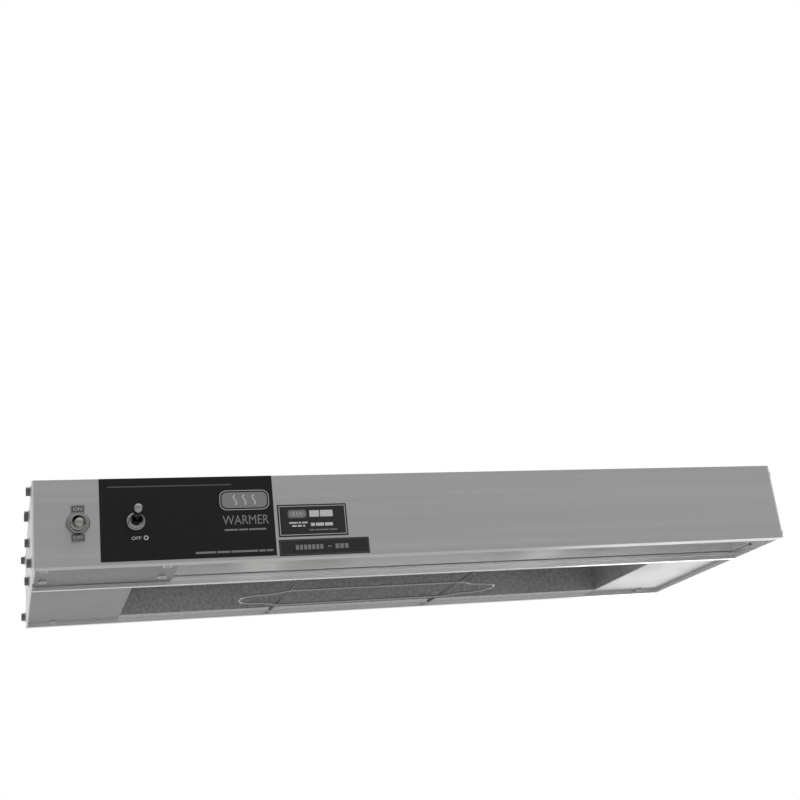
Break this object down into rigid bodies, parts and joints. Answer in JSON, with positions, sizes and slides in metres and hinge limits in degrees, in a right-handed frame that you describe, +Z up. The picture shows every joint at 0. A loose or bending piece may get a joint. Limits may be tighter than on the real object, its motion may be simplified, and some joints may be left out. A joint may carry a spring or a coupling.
{
  "type": "strip food warmer",
  "caption": "Overhead infrared strip food warmer with a reflector recess, tubular element, wire guard and a lamp and switch box along its front.",
  "frame": {"origin": "centre of the four shelf inserts, on the flat top", "axes": "+X along the warmer, -Y out of the front panel with the switches, +Z up"},
  "size_m": [0.6172, 0.2526, 0.0642],
  "materials": {
    "housing": "satin anodised",
    "end_plate": "satin",
    "bright_reflector": "bright rolled",
    "cover": "bright rolled",
    "element_sheath": "oxidised",
    "plated_wire": "plated",
    "ceramic": null,
    "glass": "frosted",
    "brass": "plain",
    "zinc_steel": "zinc plated",
    "nickel": "nickel plated",
    "black_plastic": "phenolic",
    "black_plate": "semi gloss",
    "label": "printed film",
    "ground_green": "green",
    "grommet": "matt",
    "lead": "braided glass sleeve"
  },
  "bodies": {
    "warmer": {"heater_housing": "housing", "light_housing": "housing", "heater_end_left": "end_plate", "heater_end_right": "end_plate", "light_end_left": "end_plate", "light_end_right": "end_plate", "heater_reflector": "bright_reflector", "lamp_reflector": "bright_reflector", "reflector_end_left": "bright_reflector", "reflector_end_right": "bright_reflector", "lamp_end_left": "bright_reflector", "lamp_end_right": "bright_reflector", "terminal_cover_left": "cover", "terminal_cover_right": "cover", "control_cover": "cover", "control_bulkhead": "cover", "heating_element": "element_sheath", "wire_guard": "plated_wire", "element_hangers": "plated_wire", "element_pins": "plated_wire", "element_nuts": "plated_wire", "element_bushes": "ceramic", "lamp_holder_left": "ceramic", "lamp_holder_right": "ceramic", "lamp_glass_left": "glass", "lamp_glass_right": "glass", "lamp_cap_left": "brass", "lamp_cap_right": "brass", "lamp_contacts": "brass", "switch_tabs": "brass", "lamp_brackets": "zinc_steel", "lamp_bracket_screws": "zinc_steel", "terminal_cover_screws": "zinc_steel", "control_cover_screws": "zinc_steel", "end_screws_left": "zinc_steel", "end_screws_right": "zinc_steel", "seam_rivets": "zinc_steel", "light_end_rivets": "zinc_steel", "shelf_inserts": "zinc_steel", "terminal_screws": "zinc_steel", "switch_back_nuts": "zinc_steel", "light_switch_neck": "nickel", "light_switch_nut": "nickel", "heater_switch_neck": "nickel", "heater_switch_nut": "nickel", "light_legend_plate": "nickel", "light_switch_case": "black_plastic", "heater_switch_case": "black_plastic", "terminal_block": "black_plastic", "control_plate": "black_plate", "service_label": "label", "lower_label": "label", "ground_screw": "ground_green", "wire_grommet": "grommet", "heater_leads": "lead", "lamp_leads": "lead"},
    "light_lever": {"light_switch_lever": "nickel"},
    "heater_lever": {"heater_switch_lever": "nickel"}
  },
  "joints": [
    {"name": "light_toggle", "type": "hinge", "parent": "warmer", "child": "light_lever", "pos_m": [-0.2736, -0.1163, -0.0325], "axis": [1, 0, 0], "range_deg": [-28, 0]},
    {"name": "heater_toggle", "type": "hinge", "parent": "warmer", "child": "heater_lever", "pos_m": [-0.2332, -0.1163, -0.0325], "axis": [1, 0, 0], "range_deg": [0, 28]}
  ]
}
